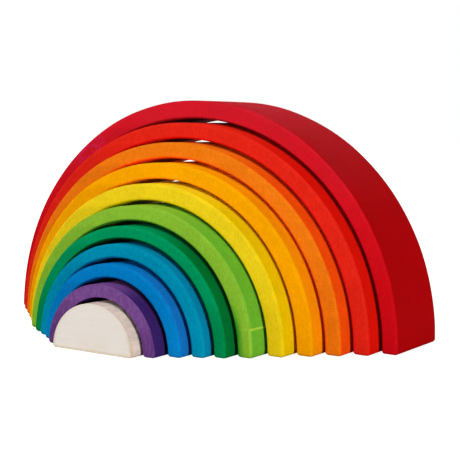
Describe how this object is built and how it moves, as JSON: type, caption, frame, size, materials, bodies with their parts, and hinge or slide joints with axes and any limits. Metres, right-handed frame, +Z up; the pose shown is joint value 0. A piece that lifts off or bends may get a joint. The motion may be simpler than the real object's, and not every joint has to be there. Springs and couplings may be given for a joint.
{
  "type": "rainbow stacker",
  "caption": "Nesting wooden rainbow toy: dyed half-circle arches around a bare half-round block, each loose and sliding out of the row for stacking and building.",
  "frame": {"origin": "on the table, at the centre of the footprint of the stepped row", "axes": "+X to the right along the longest arch, +Y to the back of the row, +Z up"},
  "size_m": [0.38, 0.206, 0.1915],
  "materials": {
    "crimson_wood": "sanded, dyed crimson, grain showing through",
    "red_wood": "sanded, dyed red, grain showing through",
    "orange_wood": "sanded, dyed orange, grain showing through",
    "amber_wood": "sanded, dyed amber, grain showing through",
    "yellow_wood": "sanded, dyed yellow, grain showing through",
    "light_green_wood": "sanded, dyed light green, grain showing through",
    "dark_green_wood": "sanded, dyed dark green, grain showing through",
    "teal_wood": "sanded, dyed teal, grain showing through",
    "blue_wood": "sanded, dyed blue, grain showing through",
    "purple_wood": "sanded, dyed purple, grain showing through",
    "natural_wood": "sanded bare wood"
  },
  "bodies": {
    "crimson_arch": {"crimson_arch": "crimson_wood"},
    "red_arch": {"red_arch": "red_wood"},
    "orange_arch": {"orange_arch": "orange_wood"},
    "amber_arch": {"amber_arch": "amber_wood"},
    "yellow_arch": {"yellow_arch": "yellow_wood"},
    "light_green_arch": {"light_green_arch": "light_green_wood"},
    "dark_green_arch": {"dark_green_arch": "dark_green_wood"},
    "teal_arch": {"teal_arch": "teal_wood"},
    "blue_arch": {"blue_arch": "blue_wood"},
    "purple_arch": {"purple_arch": "purple_wood"},
    "natural_half_round": {"natural_half_round": "natural_wood"}
  },
  "joints": [
    {"name": "red_arch_slide", "type": "slide", "parent": "crimson_arch", "child": "red_arch", "axis": [0, -1, 0], "range_m": [-0.016, 0.06]},
    {"name": "orange_arch_slide", "type": "slide", "parent": "red_arch", "child": "orange_arch", "axis": [0, -1, 0], "range_m": [-0.015, 0.061]},
    {"name": "amber_arch_slide", "type": "slide", "parent": "orange_arch", "child": "amber_arch", "axis": [0, -1, 0], "range_m": [-0.015, 0.061]},
    {"name": "yellow_arch_slide", "type": "slide", "parent": "amber_arch", "child": "yellow_arch", "axis": [0, -1, 0], "range_m": [-0.0155, 0.0605]},
    {"name": "light_green_arch_slide", "type": "slide", "parent": "yellow_arch", "child": "light_green_arch", "axis": [0, -1, 0], "range_m": [-0.0175, 0.0585]},
    {"name": "dark_green_arch_slide", "type": "slide", "parent": "light_green_arch", "child": "dark_green_arch", "axis": [0, -1, 0], "range_m": [-0.012, 0.064]},
    {"name": "teal_arch_slide", "type": "slide", "parent": "dark_green_arch", "child": "teal_arch", "axis": [0, -1, 0], "range_m": [-0.009, 0.067]},
    {"name": "blue_arch_slide", "type": "slide", "parent": "teal_arch", "child": "blue_arch", "axis": [0, -1, 0], "range_m": [-0.01, 0.066]},
    {"name": "purple_arch_slide", "type": "slide", "parent": "blue_arch", "child": "purple_arch", "axis": [0, -1, 0], "range_m": [-0.0115, 0.0645]},
    {"name": "natural_half_round_slide", "type": "slide", "parent": "purple_arch", "child": "natural_half_round", "axis": [0, -1, 0], "range_m": [-0.0105, 0.0655]}
  ]
}
